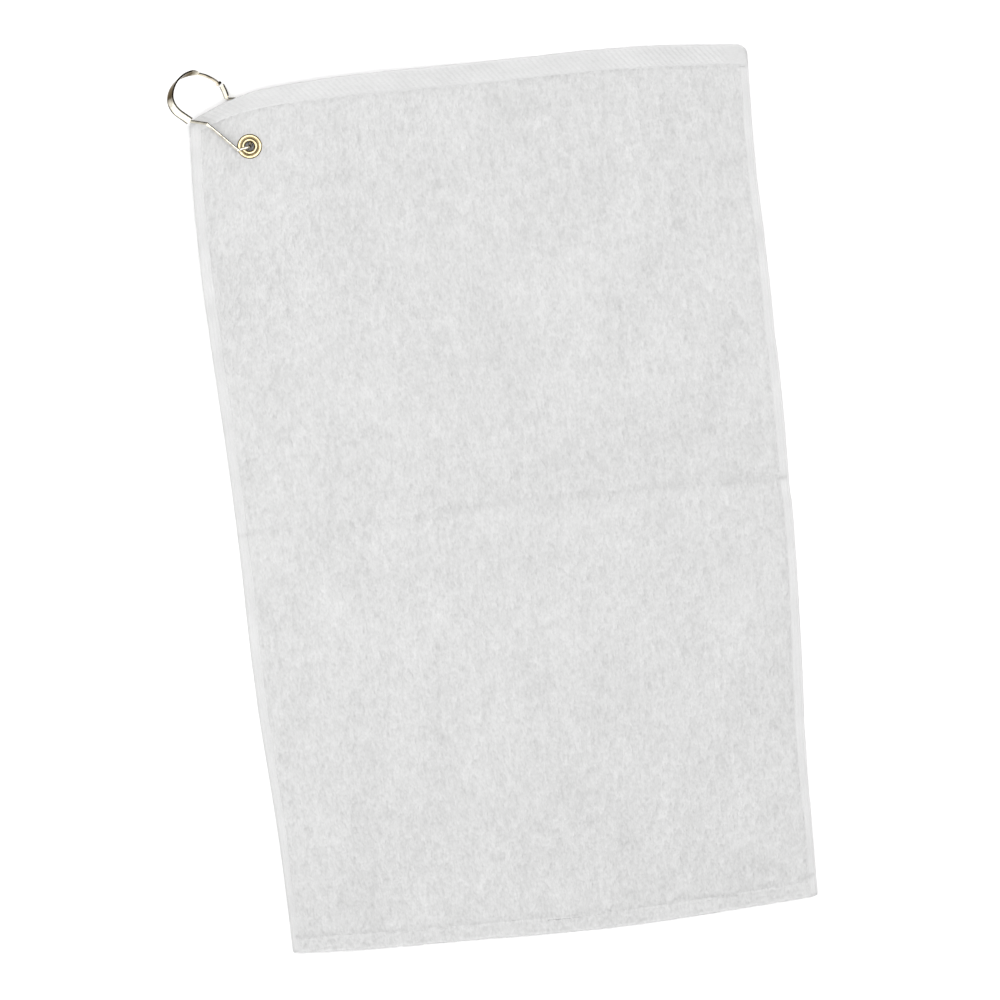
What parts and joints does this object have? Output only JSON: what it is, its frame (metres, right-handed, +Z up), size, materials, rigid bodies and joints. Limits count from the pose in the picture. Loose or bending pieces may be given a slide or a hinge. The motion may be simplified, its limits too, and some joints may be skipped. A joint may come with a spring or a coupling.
{
  "type": "golf towel",
  "caption": "Flat terry golf towel with hemmed edges, a creased middle, a brass corner grommet and a sprung brass keyhole clip with a tongue latch.",
  "frame": {"origin": "on the surface that the towel lies on, at the middle of the whole object's box", "axes": "+X across the towel, +Y up its length to the grommet end, +Z up from the surface, out of the front of the cloth"},
  "size_m": [0.3037, 0.4696, 0.0252],
  "materials": {
    "terry": "cut terry pile, matt, off-white",
    "hem": "flat woven border, matt, off-white",
    "thread": "spun polyester sewing thread, off-white",
    "grommet_brass": "polished brass, lightly worn",
    "clip_brass": "brass plated spring steel, lightly worn"
  },
  "bodies": {
    "upper_half": {"terry_upper": "terry", "top_hem": "hem", "left_hem_upper": "hem", "right_hem_upper": "hem", "top_seam_thread": "thread", "left_seam_thread_upper": "thread", "right_seam_thread_upper": "thread", "grommet_eyelet": "grommet_brass", "grommet_washer": "grommet_brass"},
    "lower_half": {"terry_lower": "terry", "bottom_hem": "hem", "left_hem_lower": "hem", "right_hem_lower": "hem", "bottom_seam_thread": "thread", "left_seam_thread_lower": "thread", "right_seam_thread_lower": "thread"},
    "clip": {"clip_strip": "clip_brass"},
    "latch_tongue": {"clip_tongue": "clip_brass"}
  },
  "joints": [
    {"name": "centre_fold", "type": "hinge", "parent": "upper_half", "child": "lower_half", "pos_m": [0.0034, -0.011, 0.0033], "axis": [-1, 0, 0], "range_deg": [0, 165]},
    {"name": "clip_swing", "type": "hinge", "parent": "upper_half", "child": "clip", "pos_m": [-0.1118, 0.1919, 0.0105], "axis": [0, 0, 1], "range_deg": [-60, 60]},
    {"name": "tongue_flex", "type": "hinge", "parent": "clip", "child": "latch_tongue", "pos_m": [-0.1345, 0.23274, 0.00715], "axis": [-0.4739, -0.3304, -0.8163], "range_deg": [0, 25], "stiffness_Nm_per_rad": 0.05}
  ]
}
